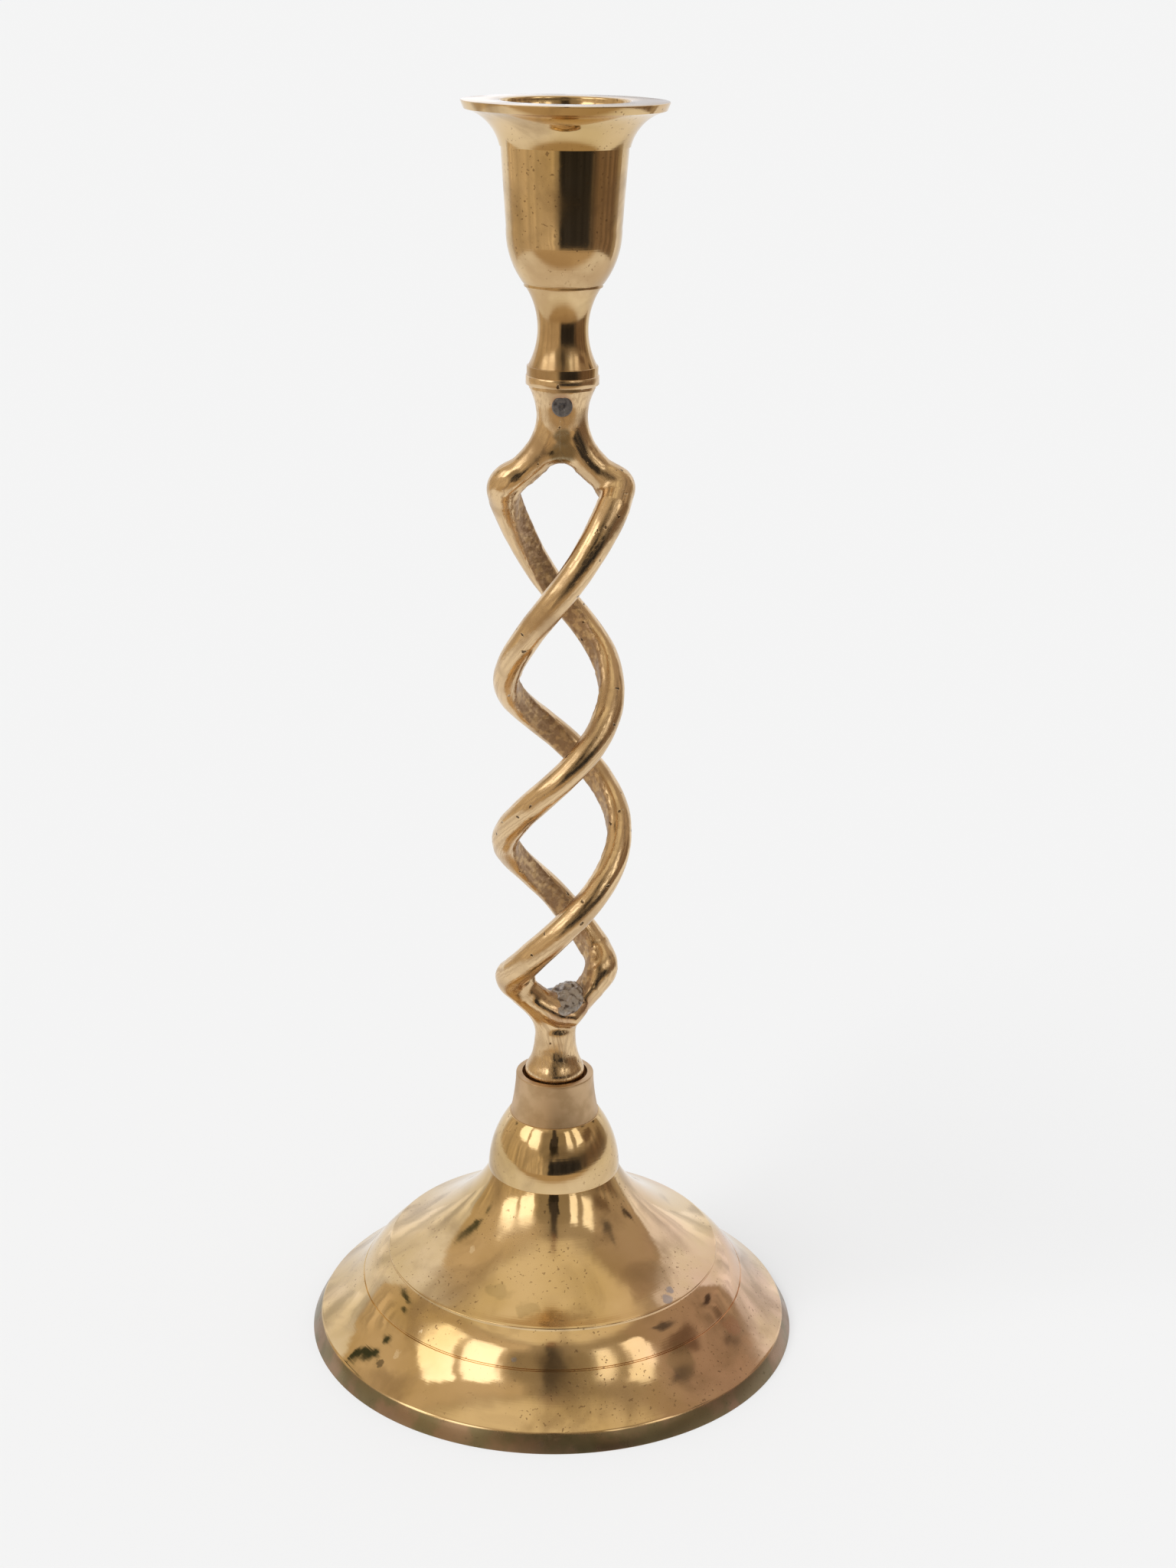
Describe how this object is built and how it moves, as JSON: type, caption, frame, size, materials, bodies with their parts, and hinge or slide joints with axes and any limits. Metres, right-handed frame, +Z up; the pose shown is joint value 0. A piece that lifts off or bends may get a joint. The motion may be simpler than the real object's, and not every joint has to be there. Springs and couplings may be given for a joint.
{
  "type": "candlestick",
  "caption": "Brass table candlestick with a domed foot, an open barley-twist stem and a bell-shaped cup for a taper candle.",
  "frame": {"origin": "centre of the foot's rim on the table", "axes": "+Z up along the candlestick's axis; -Y towards the viewer of the picture, on the side of the steel peg; +X to the viewer's right"},
  "size_m": [0.1134, 0.1134, 0.28],
  "materials": {
    "polished_brass": "turned and polished, lightly tarnished",
    "cast_brass": "cast, ground and hand polished, rough on the inner faces",
    "steel": "dull grey",
    "solder": "lumpy grey solder"
  },
  "bodies": {
    "base": {"base_dome": "polished_brass", "base_knop": "polished_brass", "base_washer": "steel"},
    "nut": {"base_nut": "steel"},
    "stem": {"twist_stem": "cast_brass", "foot_stud": "steel", "stud_solder": "solder", "cup_stud": "steel", "stud_pin": "steel"},
    "cup": {"candle_cup": "polished_brass"}
  },
  "joints": [
    {"name": "stem_lift", "type": "slide", "parent": "base", "child": "stem", "axis": [0, 0, 1], "range_m": [0, 0.006]},
    {"name": "nut_turn", "type": "hinge", "parent": "base", "child": "nut", "pos_m": [0, 0, 0.0325], "axis": [0, 0, -1], "range_deg": [0, 2160]},
    {"name": "cup_lift", "type": "slide", "parent": "stem", "child": "cup", "axis": [0, 0, 1], "range_m": [0, 0.014]}
  ],
  "couplings": [
    {"joint": "nut_turn", "follows": "stem_lift", "rad_per_m": 6283}
  ]
}
